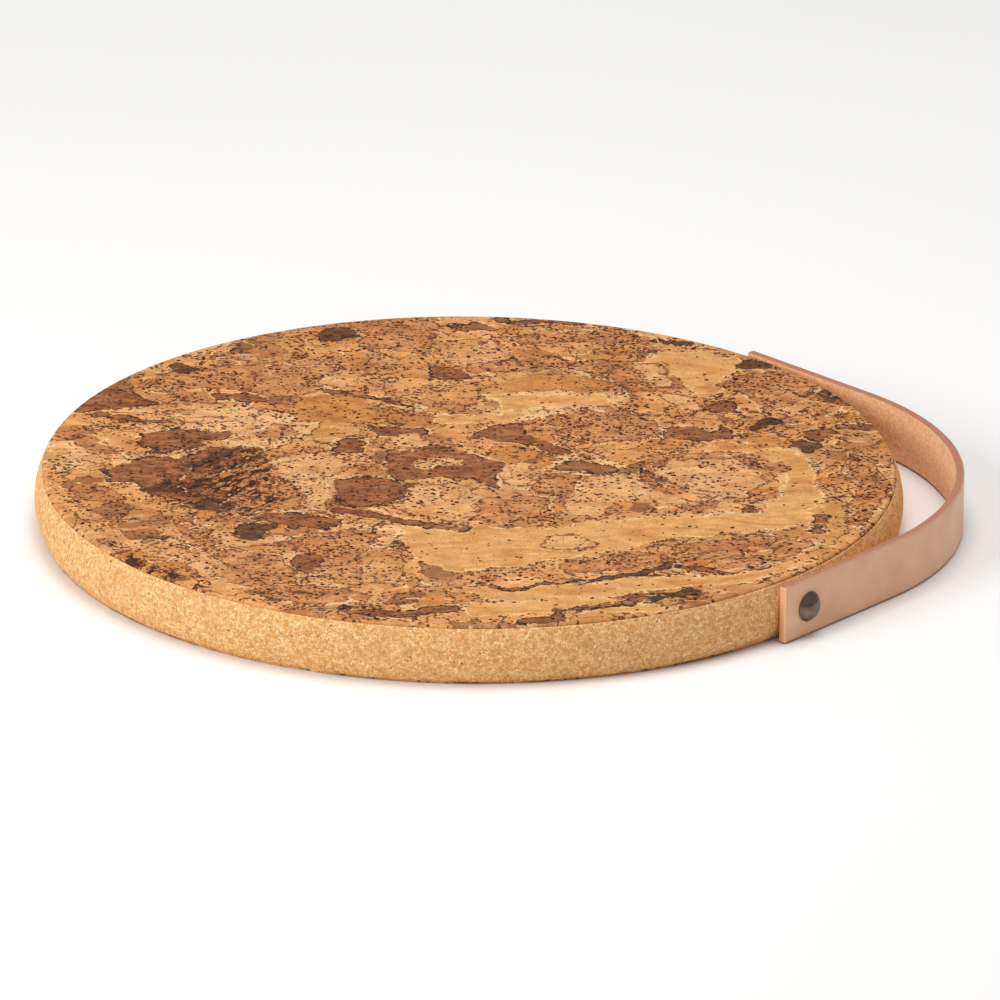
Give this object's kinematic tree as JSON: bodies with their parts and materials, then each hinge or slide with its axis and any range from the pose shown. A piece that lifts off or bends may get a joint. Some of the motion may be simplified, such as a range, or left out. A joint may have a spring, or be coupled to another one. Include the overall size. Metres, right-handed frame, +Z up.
{
  "type": "cork serving board",
  "caption": "Round cork serving board or trivet with a rounded edge and a leather loop handle screwed to its rim.",
  "frame": {"origin": "centre of the underside of the board, where it rests on a table", "axes": "+Z up through the board, +X towards the middle of the handle, +Y to the rear fastener"},
  "size_m": [0.3209, 0.3, 0.021],
  "materials": {
    "cork_core": "matte pressed cork granules",
    "cork_veneer": "matte cork bark veneer with dark flecks",
    "leather": "smooth vegetable-tanned, undyed",
    "dowel_wood": "raw beech",
    "screw_steel": "zinc plated",
    "cap_metal": "polished dark bronze plating"
  },
  "bodies": {
    "board": {"cork_core": "cork_core", "top_veneer": "cork_veneer", "base_veneer": "cork_veneer", "front_strap_end": "leather", "rear_strap_end": "leather", "front_dowel": "dowel_wood", "rear_dowel": "dowel_wood", "front_screw": "screw_steel", "rear_screw": "screw_steel", "front_cap": "cap_metal", "rear_cap": "cap_metal"},
    "loop": {"strap_loop": "leather"}
  },
  "joints": [
    {"name": "strap_swing", "type": "hinge", "parent": "board", "child": "loop", "pos_m": [0.11906, 0, 0.0105], "axis": [0, -1, 0], "range_deg": [-20, 20], "stiffness_Nm_per_rad": 0.3}
  ]
}
